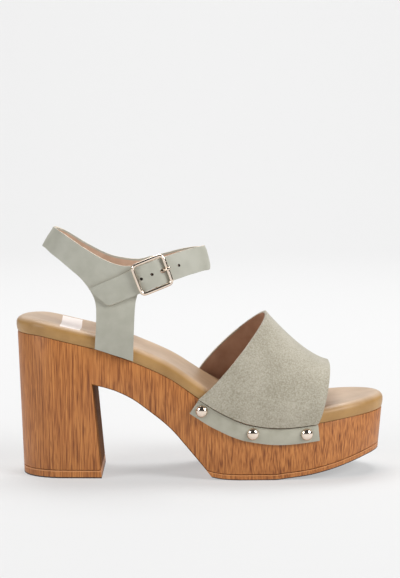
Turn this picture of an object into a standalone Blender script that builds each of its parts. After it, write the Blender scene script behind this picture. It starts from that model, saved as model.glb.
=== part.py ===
# Block heel sandal, right foot: a wood-look unit sole with a slanted block heel,
# a padded footbed, a wide toe strap held by studded side bands, and an ankle
# strap cut in one with the heel quarter and closed by a centre bar buckle.
# Metres, +X from heel to toe, +Y to the inner side of the foot, +Z up.
# The origin is on the floor, in the middle of the sandal's box.
import bisect
import math

import bmesh
import bpy
from mathutils import Matrix, Vector

# Sole, heel to toe
LENGTH = 0.2385
BALL_WIDTH = 0.0855
HEEL_WIDTH = 0.0620
SEAT_HEIGHT = 0.0931
BALL_HEIGHT = 0.0343
TOE_RISE = 0.0073
TOE_SPRING = 0.0150
SIDE_DRAFT = 0.0030
END_DRAFT = 0.0036
HEEL_ROUND = 0.0310
TOE_ROUND = 0.0500
ROUND_POWER = 2.2
BREAST_TOP = 0.0498
BREAST_FOOT = 0.0556
LIFT_THICKNESS = 0.0050
OUTSOLE_THICKNESS = 0.0034
OUTSOLE_START = 0.45
WOOD_DEPTH = 1.1

# Footbed
FOOTBED_THICKNESS = 0.0100
FOOTBED_BULGE = 0.0009
FOOTBED_ROUND = 0.0055
FOOTBED_DISH = 0.0022

# Toe strap
VAMP_WALL = 0.0018
VAMP_BACK = 0.1181
VAMP_REACH = 0.0757
VAMP_CROWN_BACK = 0.1611
VAMP_CROWN_REACH = 0.0423
VAMP_RISE_BACK = 0.0503
VAMP_RISE_FRONT = 0.0330
VAMP_SKEW = 0.0033
# Powers that shape it: the fall of its crown line to the front, how square its
# arch is across and up, and how its edges bow on the outer and inner side
VAMP_FALL = 1.45
VAMP_ACROSS = (0.72, 0.68)
VAMP_UP = 0.86
VAMP_BOW_OUTER = (0.87, 0.75)
VAMP_BOW_INNER = (1.28, 0.78)

# Side bands and studs
BAND_WIDTH = 0.0104
BAND_THICKNESS = 0.0016
STUD_DROP = 0.0049
STUD_RADIUS = 0.0040
STUD_HEIGHT = 0.0027
PIN_RADIUS = 0.0009
PIN_LENGTH = 0.0060
STUD_PLACES = (0.061, 0.465, 0.898)

# Ankle strap and heel quarter
LEATHER = 0.0018
STRAP_WIDTH = 0.0154
ANKLE_LENGTH = 0.1012
ANKLE_WIDTH = 0.0540
ANKLE_SET = 0.02155
LOOP_BACK_RISE = 0.0604
LOOP_FRONT_RISE = 0.0473
INNER_DROP = 0.0017
INNER_EASE = 0.12
BACK_LEAN = 0.69
FRONT_LEAN = 0.27
LEAN_REACH = 0.014
ARM_TURN = 0.49
EDGE_BLEND = 0.0008
TIP_TURN = 0.408
TIP_ROUND = 0.0028
TIP_SLANT = 0.0026
HOLE_RADIUS = 0.00095
HOLE_PLACES = (-0.0060, 0.0, 0.0176)

# Buckle
BUCKLE_TURN = 0.590
BUCKLE_LENGTH = 0.0235
BUCKLE_HEIGHT = 0.0219
BUCKLE_SET = -0.0003
BUCKLE_WIRE = 0.00120
BUCKLE_CORNER = 0.0040
BAR_RADIUS = 0.0008
LOOP_LEATHER = 0.0010
LOOP_WIDTH = 0.0132
LOOP_LEG = 0.0050
PRONG_RADIUS = 0.0008
PRONG_HOLE = 0.0068
PRONG_HOLE_RADIUS = 0.0020

# Clearance between pieces that touch, and how far a cutter reaches past its cut
GAP = 0.0003
OVERSHOOT = 0.0120

# How finely curves are drawn
STATIONS = 42
ARC_STEPS = 720
CELL_ALONG = 0.0036
CELL_UP = 0.0042

# Plan of the sole: along is a share of the length, spine a share of the ball
# width, spread goes from 0 at the heel's width to 1 at the ball's
PLAN = {
    "along": (0.0, 0.123, 0.249, 0.354, 0.50, 0.625, 0.73, 0.856, 1.0),
    "spine": (-0.053, -0.053, -0.058, -0.064, -0.036, -0.008, 0.008, 0.035, 0.072),
    "spread": (0.0, 0.0, 0.0, 0.0, 0.56, 0.97, 1.0, 0.76, 0.42),
}
# Top line of the wood: seat is a share of the seat's rise over the ball, toe a
# share of the toe's rise over the ball
TOP_LINE = {
    "along": (0.0, 0.059, 0.11, 0.158, 0.216, 0.319, 0.366, 0.42, 0.494, 0.559,
              0.635, 0.71, 0.816, 0.884, 0.96, 1.0),
    "seat": (1.0, 0.988, 0.947, 0.9, 0.847, 0.704, 0.624, 0.522, 0.314, 0.156,
             0.036, 0.0, 0.0, 0.0, 0.0, 0.0),
    "toe": (0.0, 0.0, 0.0, 0.0, 0.0, 0.0, 0.0, 0.0, 0.0, 0.0,
            0.0, 0.0, 0.30, 0.6, 0.87, 1.0),
}
# Underside of the arch: open is the share of the top line's height left free
ARCH_LINE = {
    "along": (0.205, 0.26, 0.308, 0.361, 0.414, 0.467, 0.5, 0.5206, 0.545),
    "open": (0.722, 0.716, 0.69, 0.617, 0.517, 0.351, 0.205, 0.096, -0.06),
}
# Bottom line of the forefoot: rise is a share of the toe spring
BOTTOM_LINE = {
    "along": (0.50, 0.528, 0.56, 0.60, 0.70, 0.729, 0.787, 0.851, 0.914, 0.957, 1.0),
    "rise": (0.25, 0.12, 0.03, 0.0, 0.0, 0.06, 0.17, 0.38, 0.66, 0.86, 1.0),
}
# Edge of the footbed, from its underside up and over: out is a share of the
# bulge, in a share of the rounding, up a share of the thickness
FOOTBED_EDGE = {
    "out": (0.0, 0.75, 1.0, 0.75, 0.0, 0.0, 0.0, 0.0, 0.0),
    "inward": (0.0, 0.0, 0.0, 0.0, 0.12, 0.45, 0.9, 1.5, 2.4),
    "up": (0.0, 0.2, 0.48, 0.7, 0.85, 0.97, 1.0, 0.985, 0.93),
}
# Heel quarter from the side: reach is a share of the ankle's length from the
# back of the loop, rise a share of the loop's back rise over the seat
QUARTER_UNDER = {
    "reach": (-0.036, -0.010, 0.023, 0.080, 0.144, 0.206, 0.250, 0.281, 0.302, 0.308, 0.307,
              0.299),
    "rise": (0.905, 0.890, 0.846, 0.775, 0.689, 0.603, 0.517, 0.437, 0.340, 0.240, 0.100, -0.140),
}
QUARTER_OVER = {
    "reach": (0.036, 0.060, 0.112, 0.203, 0.312, 0.400, 0.476, 0.560, 0.640),
    "rise": (1.095, 1.084, 1.040, 0.945, 0.836, 0.765, 0.730, 0.715, 0.705),
}
TAB_FRONT = {
    "reach": (0.540, 0.545, 0.549, 0.555, 0.567),
    "rise": (-0.27, 0.08, 0.25, 0.35, 0.43),
}
TAB_SKEW = 0.0022
TAB_SETTLE = 0.43
# Centreline of the ankle strap: turn is the share of a half turn from the back
# of the ankle, rise a share of the loop's front rise over the seat
STRAP_LINE = {
    "turn": (0.36, 0.40, 0.5, 0.590, 0.677, 0.765, 0.88, 1.0),
    "rise": (0.425, 0.494, 0.667, 0.824, 0.902, 0.962, 0.998, 1.0),
}
# How far the strap stands off the ankle around the buckle: along is in buckle
# lengths from its centre bar, lift a share of the fold of leather on that bar
STRAP_LIFT = {
    "along": (-2.0, -0.43, -0.28, -0.14, 0.13, 0.28, 0.42, 1.25, 1.6),
    "lift": (0.0, 0.0, 0.84, 1.0, 1.0, 0.6, 0.0, -1.0, -1.0),
}
# The prong, from the centre bar out: along is a share of the way to the
# buckle's front bar, up a share of the way to the frame's outer face
PRONG_LINE = {
    "along": (0.45, 0.62, 0.74, 0.86, 1.0, 1.14),
    "up": (0.04, 0.16, 0.58, 0.93, 1.0, 0.98),
}


def curve(table, key, column):
    """A monotone curve through a table's rows, straight on past its ends."""
    xs, ys = table[key], table[column]
    steps_x = [b - a for a, b in zip(xs, xs[1:])]
    slopes = [(b - a) / step for a, b, step in zip(ys, ys[1:], steps_x)]
    ends = [slopes[0]]
    for i in range(1, len(slopes)):
        before, after = slopes[i - 1], slopes[i]
        wide = 2 * steps_x[i] + steps_x[i - 1]
        narrow = steps_x[i] + 2 * steps_x[i - 1]
        steep = before * after > 0
        ends.append((wide + narrow) / (wide / before + narrow / after) if steep else 0.0)
    ends.append(slopes[-1])

    def value(at):
        if at <= xs[0]:
            return ys[0] + (at - xs[0]) * ends[0]
        if at >= xs[-1]:
            return ys[-1] + (at - xs[-1]) * ends[-1]
        i = bisect.bisect_right(xs, at) - 1
        t = (at - xs[i]) / steps_x[i]
        return (
            ys[i] * (1 + 2 * t) * (1 - t) ** 2
            + ys[i + 1] * t * t * (3 - 2 * t)
            + ends[i] * steps_x[i] * t * (1 - t) ** 2
            - ends[i + 1] * steps_x[i] * t * t * (1 - t)
        )

    return value


seat_share = curve(TOP_LINE, "along", "seat")
toe_share = curve(TOP_LINE, "along", "toe")
spring_share = curve(BOTTOM_LINE, "along", "rise")
arch_share = curve(ARCH_LINE, "along", "open")
spine_share = curve(PLAN, "along", "spine")
spread_share = curve(PLAN, "along", "spread")
strap_share = curve(STRAP_LINE, "turn", "rise")
lift_share = curve(STRAP_LIFT, "along", "lift")


def steps(start, stop, count):
    return [start + (stop - start) * i / count for i in range(count + 1)]


def mix(low, high, t):
    return low + (high - low) * t


def ease(t):
    t = min(1.0, max(0.0, t))
    return t * t * (3 - 2 * t)


def share(x):
    return x / LENGTH + 0.5


def top_line(x):
    u = share(x)
    seat = seat_share(u)
    toe = toe_share(u)
    return BALL_HEIGHT + (SEAT_HEIGHT - BALL_HEIGHT) * seat + TOE_RISE * toe


def bottom_line(x):
    return TOE_SPRING * spring_share(share(x))


def arch_line(x):
    return top_line(x) * arch_share(share(x))


def spine(x):
    return BALL_WIDTH * spine_share(share(x))


def rounded(t):
    """Share of the full width at share t of the way into a round end."""
    return max(0.0, 1 - (1 - t) ** ROUND_POWER) ** (1 / ROUND_POWER)


def half_width(x):
    """Half the width of the sole's top outline, rounded off at heel and toe."""
    spread = spread_share(share(x))
    half = (HEEL_WIDTH + (BALL_WIDTH - HEEL_WIDTH) * spread) / 2
    from_heel = x + LENGTH / 2
    from_toe = LENGTH / 2 - x
    if from_heel < HEEL_ROUND:
        half *= rounded(from_heel / HEEL_ROUND)
    if from_toe < TOE_ROUND:
        half *= rounded(from_toe / TOE_ROUND)
    return half


def outline():
    """Rows of (x, spine, signed half width) round the sole: heel, outer side,
    toe, inner side. They crowd together at the round ends."""
    rows = []
    for i in range(2 * STATIONS):
        turn = math.pi * i / STATIONS
        x = -LENGTH / 2 * math.cos(turn)
        half = half_width(x) if i % STATIONS else 0.0
        rows.append((x, spine(x), -half if i < STATIONS else half))
    return rows


def drafted(row, depth):
    """A point of the wood's wall: depth is 0 on the top line and 1 on the floor."""
    x, middle, half = row
    side = 1 - SIDE_DRAFT * depth / (BALL_WIDTH / 2)
    end = 1 - END_DRAFT * depth / (LENGTH / 2)
    return Vector((x * end, middle + half * side, top_line(x) * (1 - depth)))


def wall_y(x, z, side):
    """Where the wood's wall stands at that place; side is -1 outer, +1 inner."""
    base = x
    depth = 0.0
    for _ in range(4):
        depth = 1 - z / top_line(base)
        base = x / (1 - END_DRAFT * depth / (LENGTH / 2))
    half = half_width(base) * (1 - SIDE_DRAFT * depth / (BALL_WIDTH / 2))
    return spine(base) + side * half


def edge_grown(rows, grow):
    """The outline moved out along its own normal by grow, or in if negative."""
    count = len(rows)
    points = [Vector((x, middle + half)) for x, middle, half in rows]
    moved = []
    for i, point in enumerate(points):
        along = points[(i + 1) % count] - points[i - 1]
        normal = Vector((along.y, -along.x)).normalized()
        moved.append(point + normal * grow)
    return moved


def new_object(name, bm):
    bmesh.ops.recalc_face_normals(bm, faces=bm.faces[:])
    mesh = bpy.data.meshes.new(name)
    bm.to_mesh(mesh)
    bm.free()
    made = bpy.data.objects.new(name, mesh)
    bpy.context.scene.collection.objects.link(made)
    return made


def loft(bm, rings):
    """Quads between closed rings of points. Returns the rings' vertices."""
    made = [[bm.verts.new(p) for p in ring] for ring in rings]
    for low, high in zip(made, made[1:]):
        for i in range(len(low)):
            j = (i + 1) % len(low)
            bm.faces.new((low[i], low[j], high[j], high[i]))
    return made


def close_across(bm, ring, sag, columns=1):
    """Closes an outline ring with strips from side to side. sag(x, s) lowers a
    point at share s of the way across."""
    count = len(ring) // 2
    rows = []
    for i in range(1, count):
        outer, inner = ring[i], ring[-i]
        row = [outer]
        for k in range(1, columns):
            s = k / columns
            point = outer.co.lerp(inner.co, s)
            point.z -= sag(point.x, s)
            row.append(bm.verts.new(point))
        rows.append(row + [inner])
    for end, row in ((ring[0], rows[0]), (ring[count], rows[-1])):
        for a, b in zip(row, row[1:]):
            bm.faces.new((end, a, b))
    for low, high in zip(rows, rows[1:]):
        for k in range(columns):
            bm.faces.new((low[k], low[k + 1], high[k + 1], high[k]))


def prism(name, outline_points, low, high, axis="Y"):
    """A closed flat outline pulled along Y, or along Z."""
    bm = bmesh.new()
    along_y = axis == "Y"
    rings = [
        [Vector((a, level, b)) if along_y else Vector((a, b, level)) for a, b in outline_points]
        for level in (low, high)
    ]
    ends = loft(bm, rings)
    for ring in ends:
        bm.faces.new(ring)
    return new_object(name, bm)


def boolean(target, cutter, operation):
    modifier = target.modifiers.new(operation.lower(), "BOOLEAN")
    modifier.operation = operation
    modifier.object = cutter
    modifier.solver = "EXACT"
    graph = bpy.context.evaluated_depsgraph_get()
    mesh = bpy.data.meshes.new_from_object(target.evaluated_get(graph))
    target.modifiers.clear()
    target.data = mesh
    bpy.data.objects.remove(cutter)


def material(name, colour, roughness, metallic=0.0):
    made = bpy.data.materials.new(name)
    made.use_nodes = True
    shader = made.node_tree.nodes["Principled BSDF"]
    shader.inputs["Base Color"].default_value = (*colour, 1.0)
    shader.inputs["Roughness"].default_value = roughness
    shader.inputs["Metallic"].default_value = metallic
    return made


def finish(made, finish_material, name, smooth_angle=40.0):
    made.name = name
    made.data.name = name
    made.data.materials.clear()
    made.data.materials.append(finish_material)
    made.data.shade_smooth()
    made.data.set_sharp_from_angle(angle=math.radians(smooth_angle))
    for collection in made.users_collection:
        collection.objects.unlink(made)
    bpy.data.collections["block_heel_sandal"].objects.link(made)
    return made


def wood_body(name):
    """The sole's whole block, its drafted wall run on to under the floor."""
    bm = bmesh.new()
    rings = loft(bm, [[drafted(row, depth) for row in outline()] for depth in (WOOD_DEPTH, 0.0)])
    for ring in rings:
        close_across(bm, ring, lambda x, s: 0.0)
    return new_object(name, bm)


def breast_x(z):
    """The slanted front face of the heel."""
    heel_back = -LENGTH / 2
    corner = heel_back + BREAST_TOP
    lean = (BREAST_FOOT - BREAST_TOP) / arch_line(corner)
    return heel_back + BREAST_FOOT - lean * z


def far_out():
    return LENGTH / 2 + 0.02


def arch_profile():
    """The open space between heel and forefoot."""
    foot = -LENGTH / 2 + LENGTH * ARCH_LINE["along"][-1]
    corner = -LENGTH / 2 + BREAST_TOP
    line = [(x, arch_line(x)) for x in steps(corner, foot, 22)]
    under = -OVERSHOOT
    return [(breast_x(under), under), *line, (foot + 0.002, under)]


def lift_profile(low, high):
    """A slab under the heel between two heights, reaching out past its breast."""
    back, front = -far_out(), -LENGTH / 2 + BREAST_FOOT + OVERSHOOT
    return [(back, low), (front, low), (front, high), (back, high)]


def outsole_profile(top):
    """The slab under the forefoot, up to that height over the bottom line."""
    start = -LENGTH / 2 + LENGTH * OUTSOLE_START
    line = [(x, bottom_line(x) + top) for x in steps(start, far_out(), 40)]
    return [(start, -OVERSHOOT), *line, (far_out(), -OVERSHOOT)]


def cut(target, points, operation="DIFFERENCE"):
    boolean(target, prism("cutter", points, -far_out(), far_out()), operation)


def platform_and_heel(wood):
    """One moulded unit: block heel, arch and platform, with the studs' holes."""
    made = wood_body("platform")
    cut(made, arch_profile())
    cut(made, lift_profile(-OVERSHOOT, LIFT_THICKNESS + GAP))
    cut(made, outsole_profile(OUTSOLE_THICKNESS + GAP))
    for side in (-1, 1):
        for place in STUD_PLACES:
            drill(made, side, place)
    return finish(made, wood, "platform_and_heel")


def heel_top_lift(rubber):
    made = wood_body("lift")
    cut(made, lift_profile(0.0, LIFT_THICKNESS), "INTERSECT")
    cut(made, arch_profile())
    return finish(made, rubber, "heel_top_lift")


def forefoot_outsole(rubber):
    made = wood_body("outsole")
    cut(made, outsole_profile(OUTSOLE_THICKNESS), "INTERSECT")
    cut(made, outsole_profile(0.0))
    cut(made, arch_profile())
    return finish(made, rubber, "forefoot_outsole")


def footbed(leather):
    """The padded footbed: a rolled edge round a shallow dish, deepest at the heel."""
    rows = outline()
    bm = bmesh.new()
    rings = []
    for out, inward, up in zip(*(FOOTBED_EDGE[c] for c in ("out", "inward", "up"))):
        edge = edge_grown(rows, FOOTBED_BULGE * out - FOOTBED_ROUND * inward)
        height = GAP + (FOOTBED_THICKNESS - GAP) * up
        rings.append([Vector((p.x, p.y, top_line(p.x) + height)) for p in edge])
    made = loft(bm, rings)

    def dish(x, s):
        cup = 1 - 0.65 * ease(share(x) / 0.45)
        rim = LENGTH / 2 - FOOTBED_ROUND * FOOTBED_EDGE["inward"][-1] - abs(x)
        return FOOTBED_DISH * cup * ease(rim / HEEL_ROUND) * math.sin(math.pi * s)

    close_across(bm, made[0], lambda x, s: 0.0)
    close_across(bm, made[-1], dish, 6)
    return finish(new_object("footbed", bm), leather, "footbed", 60.0)


def vamp_reach(x):
    return half_width(x) + FOOTBED_BULGE + 2 * GAP


def vamp_edge(v, side):
    """Foot of the toe strap at share v from its back edge to its front edge."""
    x = -LENGTH / 2 + VAMP_BACK + VAMP_REACH * v
    if side > 0:
        x += VAMP_SKEW * (2 * v - 1)
    return Vector((x, spine(x) + side * vamp_reach(x), top_line(x) + GAP))


def vamp_point(u, v):
    """The toe strap's inner face: u goes over the foot from outer to inner side."""
    outer, inner = vamp_edge(v, -1), vamp_edge(v, 1)
    crown_x = -LENGTH / 2 + VAMP_CROWN_BACK + VAMP_CROWN_REACH * v
    back_z = top_line(-LENGTH / 2 + VAMP_BACK) + VAMP_RISE_BACK
    front_z = top_line(-LENGTH / 2 + VAMP_BACK + VAMP_REACH) + VAMP_RISE_FRONT
    crown_z = front_z + (back_z - front_z) * (1 - v) ** VAMP_FALL
    turn = math.pi * u
    side, foot, bow = (-1, outer, VAMP_BOW_OUTER) if u < 0.5 else (1, inner, VAMP_BOW_INNER)
    across = side * abs(math.cos(turn)) ** mix(*VAMP_ACROSS, v)
    up = math.sin(turn) ** VAMP_UP
    x = foot.x + (crown_x - foot.x) * up ** mix(*bow, v)
    return Vector((x, spine(x) + across * vamp_reach(x), foot.z + (crown_z - foot.z) * up))


def sheet_solid(name, point, columns, rows, thickness):
    """A closed wall: point(u, v) is its inner face, thickened outwards."""
    step = 1e-3
    bm = bmesh.new()
    faces = []
    for offset in (0.0, thickness):
        grid = []
        for j in range(rows + 1):
            v = j / rows
            line = []
            for i in range(columns + 1):
                u = i / columns
                du = point(min(1, u + step), v) - point(max(0, u - step), v)
                dv = point(u, min(1, v + step)) - point(u, max(0, v - step))
                normal = du.cross(dv).normalized()
                line.append(bm.verts.new(point(u, v) + normal * offset))
            grid.append(line)
        faces.append(grid)
        for low, high in zip(grid, grid[1:]):
            for i in range(columns):
                bm.faces.new((low[i], low[i + 1], high[i + 1], high[i]))
    inside, outside = faces
    rims = [
        (inside[0], outside[0]),
        (inside[-1], outside[-1]),
        ([r[0] for r in inside], [r[0] for r in outside]),
        ([r[-1] for r in inside], [r[-1] for r in outside]),
    ]
    for low, high in rims:
        for i in range(len(low) - 1):
            bm.faces.new((low[i], low[i + 1], high[i + 1], high[i]))
    return new_object(name, bm)


def toe_strap(suede):
    made = sheet_solid("toe_strap", lambda u, v: vamp_point(1 - u, v), 34, 11, VAMP_WALL)
    return finish(made, suede, "toe_strap")


def band_point(side, s, w):
    """The wood's wall under the side band: s runs along it, w down its width."""
    back = vamp_edge(0.0, side).x
    front = vamp_edge(1.0, side).x
    x = back + (front - back) * s
    slope = (top_line(x + 1e-3) - top_line(x - 1e-3)) / 2e-3
    down = Vector((slope, -1.0)).normalized()
    x, z = x + down.x * w, top_line(x) - GAP + down.y * w
    return Vector((x, wall_y(x, z, side), z))


def band_frame(side, s, w):
    """Place on the band's inner face, and the outward normal there."""
    place = band_point(side, s, w)
    step = 1e-4
    along = band_point(side, s + 1e-2, w) - band_point(side, s - 1e-2, w)
    down = band_point(side, s, w + step) - band_point(side, s, w - step)
    normal = (along.cross(down) * side).normalized()
    return place + normal * GAP, normal


def side_band(side, leather, name):
    made = sheet_solid(
        name,
        lambda u, v: band_frame(side, u if side > 0 else 1 - u, v * BAND_WIDTH)[0],
        22,
        2,
        BAND_THICKNESS,
    )
    for place in STUD_PLACES:
        drill(made, side, place)
    return finish(made, leather, name)


def stud_matrix(side, place):
    """Stands a stud on the band: its own Z points out of the shoe."""
    at, normal = band_frame(side, place, STUD_DROP)
    turn = normal.to_track_quat("Z", "Y").to_matrix().to_4x4()
    return Matrix.Translation(at + normal * (BAND_THICKNESS + GAP)) @ turn


def turned(name, profile, sides=14):
    """A closed body turned about Z from a profile of (radius, height)."""
    bm = bmesh.new()
    line = [bm.verts.new((r, 0.0, z)) for r, z in profile]
    edges = [bm.edges.new(pair) for pair in zip(line, line[1:])]
    bmesh.ops.spin(
        bm, geom=line + edges, axis=(0, 0, 1), cent=(0, 0, 0),
        angle=2 * math.pi, steps=sides, use_merge=True,
    )
    bmesh.ops.remove_doubles(bm, verts=bm.verts[:], dist=1e-6)
    return new_object(name, bm)


def stud(side, place, brass, name):
    """A domed nail: its pin runs through the band into the wood."""
    dome = [
        (STUD_RADIUS * math.sin(a), STUD_HEIGHT * math.cos(a))
        for a in steps(0.0, math.pi / 2, 4)
    ]
    pin = [(PIN_RADIUS, 0.0), (PIN_RADIUS, -PIN_LENGTH), (0.0, -PIN_LENGTH)]
    made = turned(name, dome + pin)
    made.data.transform(stud_matrix(side, place))
    return finish(made, brass, name)


def drill(target, side, place):
    """A hole for a stud's pin, from outside the band into the wood."""
    radius = PIN_RADIUS + GAP
    foot = -PIN_LENGTH - GAP
    profile = [(0.0, OVERSHOOT), (radius, OVERSHOOT), (radius, foot), (0.0, foot)]
    cutter = turned("drill", profile, 12)
    cutter.data.transform(stud_matrix(side, place))
    boolean(target, cutter, "DIFFERENCE")


def ankle_arcs():
    """Distance round the ankle's oval at each even step of angle from its back."""
    arcs = [0.0]
    for a in steps(math.pi / ARC_STEPS, 2 * math.pi - math.pi / ARC_STEPS, ARC_STEPS - 1):
        speed = math.hypot(ANKLE_LENGTH / 2 * math.sin(a), ANKLE_WIDTH / 2 * math.cos(a))
        arcs.append(arcs[-1] + speed * 2 * math.pi / ARC_STEPS)
    return arcs


ARCS = ankle_arcs()
ROUND = ARCS[-1]


def angle_of(q):
    """Angle from the back of the ankle, for a distance q round it, outer side
    positive. It runs on past a full turn."""
    laps = math.floor(q / ROUND)
    rest = q - laps * ROUND
    i = min(bisect.bisect_right(ARCS, rest), ARC_STEPS) - 1
    t = (rest - ARCS[i]) / (ARCS[i + 1] - ARCS[i])
    return 2 * math.pi * (laps + (i + t) / ARC_STEPS)


def arc_of(angle):
    laps = math.floor(angle / (2 * math.pi))
    place = (angle / (2 * math.pi) - laps) * ARC_STEPS
    i = min(int(place), ARC_STEPS - 1)
    return ARCS[i] + (ARCS[i + 1] - ARCS[i]) * (place - i) + ROUND * laps


def ankle_radius(angle, z):
    """Half the ankle's length at that height: the back leans forward as it
    rises, and so does the front the other way."""
    middle = (LOOP_BACK_RISE + LOOP_FRONT_RISE) / 2
    swing = (LOOP_BACK_RISE - LOOP_FRONT_RISE) / 2
    centre = SEAT_HEIGHT + middle + swing * math.cos(angle)
    lean = (FRONT_LEAN + BACK_LEAN) / 2 + (BACK_LEAN - FRONT_LEAN) / 2 * math.cos(angle)
    rise = LEAN_REACH * math.tanh((z - centre) / LEAN_REACH)
    return ANKLE_LENGTH / 2 - lean * rise


def ankle_middle():
    return -LENGTH / 2 + ANKLE_SET + ANKLE_LENGTH / 2


def ankle_point(q, z):
    """Inner face of the ankle leather at distance q and height z. Low on the
    sides it passes from the ankle's oval to the side of the footbed."""
    angle = angle_of(q)
    x = ankle_middle() - math.cos(angle) * ankle_radius(angle, z)
    across = -math.sin(angle)
    y = ankle_spine() + across * ANKLE_WIDTH / 2
    bed = top_line(x) + FOOTBED_THICKNESS
    settle = SEAT_HEIGHT + LOOP_BACK_RISE * TAB_SETTLE
    blend = ease((settle - z) / (settle - bed))
    if blend > 0 and abs(across) > 0.5:
        side = 1 if across > 0 else -1
        wall = spine(x) + side * (half_width(x) + FOOTBED_BULGE + GAP)
        y += (wall - y) * blend
    return Vector((x, y, z))


def ankle_spine():
    return BALL_WIDTH * PLAN["spine"][1]


def ankle_frame(q, z):
    """Place on the ankle leather's inner face, and the outward normal there."""
    step = 5e-4
    around = ankle_point(q + step, z) - ankle_point(q - step, z)
    up = ankle_point(q, z + step) - ankle_point(q, z - step)
    return ankle_point(q, z), around.cross(up).normalized()


def arc_at(reach, rise):
    """Distance round the ankle of a side view place on the outer side."""
    x = -LENGTH / 2 + ANKLE_SET + ANKLE_LENGTH * reach
    z = SEAT_HEIGHT + LOOP_BACK_RISE * rise
    angle = math.pi / 2
    for _ in range(12):
        angle = math.acos(max(-1.0, min(1.0, (ankle_middle() - x) / ankle_radius(angle, z))))
    return arc_of(angle), z


def strap_height(q):
    """Height of the strap's centreline, a little lower on the inner side."""
    turn = abs(angle_of(q)) / math.pi
    inner = -ROUND / 2 < q < 0
    if turn > 1:
        turn = 2 - turn
    drop = INNER_DROP * ease((1 - turn) / INNER_EASE) if inner else 0.0
    return SEAT_HEIGHT + LOOP_FRONT_RISE * strap_share(turn) - drop


def strap_heading(q):
    """Direction of the strap's centreline in the flat."""
    step = 1e-3
    return Vector((2 * step, strap_height(q + step) - strap_height(q - step))).normalized()


def strap_edge(q, across):
    """A point of the strap, at that distance across from its centreline."""
    along = strap_heading(q)
    return Vector((q - along.y * across, strap_height(q) + along.x * across))


def curve_points(table, count):
    """Points in the flat of a side view edge, evenly spread over its rows."""
    rows = {"row": tuple(range(len(table["reach"]))), **table}
    reach_at, rise_at = curve(rows, "row", "reach"), curve(rows, "row", "rise")
    return [arc_at(reach_at(k), rise_at(k)) for k in steps(0.0, len(rows["row"]) - 1, count)]


def into_strap(q, z):
    """The inner upper edge: the quarter's, run smoothly into the strap's."""
    ahead, here = strap_edge(q + CELL_ALONG, STRAP_WIDTH / 2), strap_edge(q, STRAP_WIDTH / 2)
    strap = here.y + (q - here.x) * (ahead.y - here.y) / (ahead.x - here.x)
    return q, (z + strap) / 2 + math.hypot((z - strap) / 2, EDGE_BLEND)


def tip_outline(end):
    """The strap's slanted end with its lower corner rounded."""
    half = STRAP_WIDTH / 2
    lower = [
        strap_edge(end + TIP_ROUND * (1 - math.cos(a)), -half + TIP_ROUND * (1 - math.sin(a)))
        for a in steps(math.pi / 2, 0.0, 4)
    ]
    return [*lower, strap_edge(end - TIP_SLANT, half)]


def leather_outline():
    """The whole ankle piece laid flat, as (distance round, height)."""
    half = STRAP_WIDTH / 2
    arm_end = arc_of(math.pi * BUCKLE_TURN) - prong_eye() - GAP
    tip = arc_of(math.pi * TIP_TURN) - ROUND
    arm = [strap_edge(arm_end, s * LOOP_WIDTH / 2) for s in (1, -1)]
    tab = curve_points(TAB_FRONT, 8)
    under = curve_points(QUARTER_UNDER, 26)
    over = curve_points(QUARTER_OVER, 16)
    outer_over = [p for p in over if p[0] < arc_of(math.pi * ARM_TURN)]
    lower_run = steps(-arc_of(0.62 * math.pi), tip, 52)
    upper_run = steps(-over[-1][0] - STRAP_WIDTH / 4, tip, 52)
    points = [
        *arm,
        *reversed(tab),
        *reversed(under),
        *((-q, z) for q, z in under[1:]),
        *((TAB_SKEW - q, z) for q, z in tab),
        *(strap_edge(q, -half) for q in lower_run[:-1]),
        *tip_outline(tip),
        *reversed([strap_edge(q, half) for q in upper_run[:-1]]),
        *reversed([into_strap(-q, z) for q, z in over[1:]]),
        *outer_over,
    ]
    return [(p[0], p[1]) for p in points]


def bar_place():
    """Distance round the ankle of the buckle's centre bar, on the last lap."""
    return arc_of(math.pi * BUCKLE_TURN) - ROUND


def strap_lift(q, z):
    """How far the inner face of the leather stands off the ankle there."""
    if q > -ROUND / 2:
        return 0.0
    bar = strap_edge(bar_place(), 0.0)
    forward = (Vector((q, z)) - bar).dot(strap_heading(bar.x))
    over = LEATHER + GAP
    lift = lift_share(forward / BUCKLE_LENGTH)
    crest = bar_level() + prong_eye() + GAP - over
    return over + lift * (crest if lift > 0 else over)


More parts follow.
